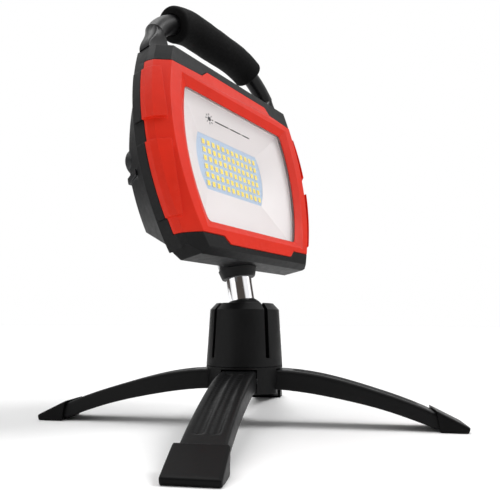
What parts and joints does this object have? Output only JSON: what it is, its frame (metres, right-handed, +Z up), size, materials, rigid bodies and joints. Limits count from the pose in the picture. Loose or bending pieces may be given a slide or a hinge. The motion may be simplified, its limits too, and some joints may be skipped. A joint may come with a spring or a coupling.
{
  "type": "work light",
  "caption": "Portable LED work light with a red and black barrel-sided lamp head, foam carry handle and ball-jointed chrome post on a hub with folding curved legs and rubber feet.",
  "frame": {"origin": "on the floor, under the centre of the hub", "axes": "+Z up; the lamp faces -Y; the legs stand turned 26.46 degrees about Z from the lamp"},
  "size_m": [0.2388, 0.2388, 0.2634],
  "materials": {
    "red_plastic": "satin, finely grained",
    "black_plastic": "matte, textured",
    "grey_plastic": "matte, fine texture",
    "leg_plastic": "matte, fine texture",
    "rubber": "smooth, slightly shiny",
    "foam": "closed-cell foam, matte",
    "chrome": "polished",
    "steel": "zinc plated",
    "aluminium": "as extruded",
    "clear_glass": "clear, polished",
    "reflector_white": "satin white",
    "board_blue": "solder mask",
    "chip_yellow": "phosphor",
    "board_green": "solder mask",
    "cell_wrap": "shrink wrapped",
    "handle_paint": "gloss black",
    "mark_ink": "printed"
  },
  "bodies": {
    "base": {"hub_body": "leg_plastic", "hub_bottom_plate": "leg_plastic", "socket_collar": "leg_plastic", "collar_screws": "steel", "leg_hinge_pins": "steel", "seat_spring_washer": "steel"},
    "pan_seat": {"ball_seat": "leg_plastic"},
    "ball": {"pivot_ball": "black_plastic"},
    "button": {"power_button": "rubber"},
    "port_flap": {"port_cover": "rubber"},
    "front_leg": {"leg_front": "leg_plastic", "foot_cap_front": "rubber"},
    "right_leg": {"leg_right": "leg_plastic", "foot_cap_right": "rubber"},
    "rear_leg": {"leg_rear": "leg_plastic", "foot_cap_rear": "rubber"},
    "left_leg": {"leg_left": "leg_plastic", "foot_cap_left": "rubber"},
    "lamp_head": {"chrome_post": "chrome", "post_cross_bolt": "steel", "neck_collar": "black_plastic", "front_bezel": "red_plastic", "main_housing": "black_plastic", "bezel_screws": "steel", "rear_cover": "grey_plastic", "cover_screws": "steel", "lens_gasket": "rubber", "cover_gasket": "rubber", "glass_lens": "clear_glass", "lens_mark": "mark_ink", "reflector": "reflector_white", "led_board": "board_blue", "led_chips": "chip_yellow", "heat_sink": "aluminium", "driver_board": "board_green", "driver_parts": "black_plastic", "battery_cells": "cell_wrap", "battery_holder": "black_plastic", "battery_leads": "rubber", "charging_socket": "steel", "button_ring": "chrome", "power_switch": "black_plastic", "handle_tube": "handle_paint", "foam_grip": "foam", "handle_bolts": "steel"}
  },
  "joints": [
    {"name": "ball_pan", "type": "hinge", "parent": "base", "child": "pan_seat", "pos_m": [0, 0, 0.0624], "axis": [0, 0, 1], "continuous": true},
    {"name": "ball_tilt", "type": "hinge", "parent": "pan_seat", "child": "ball", "pos_m": [0, 0, 0.0624], "axis": [1, 0, 0], "range_deg": [-19.3, 40.7]},
    {"name": "ball_twist", "type": "hinge", "parent": "ball", "child": "lamp_head", "pos_m": [0, 0, 0.0624], "axis": [0, 0.1855, 0.9826], "continuous": true},
    {"name": "front_leg_fold", "type": "hinge", "parent": "base", "child": "front_leg", "pos_m": [0.00802, -0.01611, 0.0268], "axis": [0.8952, 0.4456, 0], "range_deg": [0, 75]},
    {"name": "right_leg_fold", "type": "hinge", "parent": "base", "child": "right_leg", "pos_m": [0.01611, 0.00802, 0.0268], "axis": [-0.4456, 0.8952, 0], "range_deg": [0, 75]},
    {"name": "rear_leg_fold", "type": "hinge", "parent": "base", "child": "rear_leg", "pos_m": [-0.00802, 0.01611, 0.0268], "axis": [-0.8952, -0.4456, 0], "range_deg": [0, 75]},
    {"name": "left_leg_fold", "type": "hinge", "parent": "base", "child": "left_leg", "pos_m": [-0.01611, -0.00802, 0.0268], "axis": [0.4456, -0.8952, 0], "range_deg": [0, 75]},
    {"name": "button_press", "type": "slide", "parent": "lamp_head", "child": "button", "axis": [0, -0.9984, -0.0569], "range_m": [0, 0.0012], "stiffness_N_per_m": 400, "springref_m": -0.0005},
    {"name": "port_flap_open", "type": "hinge", "parent": "lamp_head", "child": "port_flap", "pos_m": [0.036, 0.03398, 0.12865], "axis": [1, 0, 0], "range_deg": [0, 115]}
  ]
}
